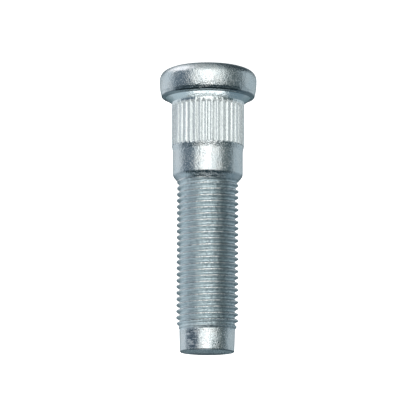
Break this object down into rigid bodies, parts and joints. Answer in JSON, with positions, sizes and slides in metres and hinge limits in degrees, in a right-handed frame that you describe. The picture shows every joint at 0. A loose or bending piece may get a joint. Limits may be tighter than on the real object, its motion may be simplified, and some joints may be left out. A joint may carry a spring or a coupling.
{
  "type": "axle stud",
  "caption": "Press-in axle stud: round head, straight knurl, plain shoulder, fine right-hand thread and a plain dog point, zinc plated.",
  "frame": {"origin": "centre of the flat top face of the head, which the stud stands on", "axes": "+Z along the axis from the head to the dog point; X and Y are free, and one tooth of the knurl lies on +X"},
  "size_m": [0.02, 0.02, 0.0588],
  "materials": {
    "zinc_plated_steel": "cold-formed steel with bright clear zinc plating, finely grained and lightly scuffed"
  },
  "bodies": {
    "root": {"stud": "zinc_plated_steel"}
  },
  "joints": []
}
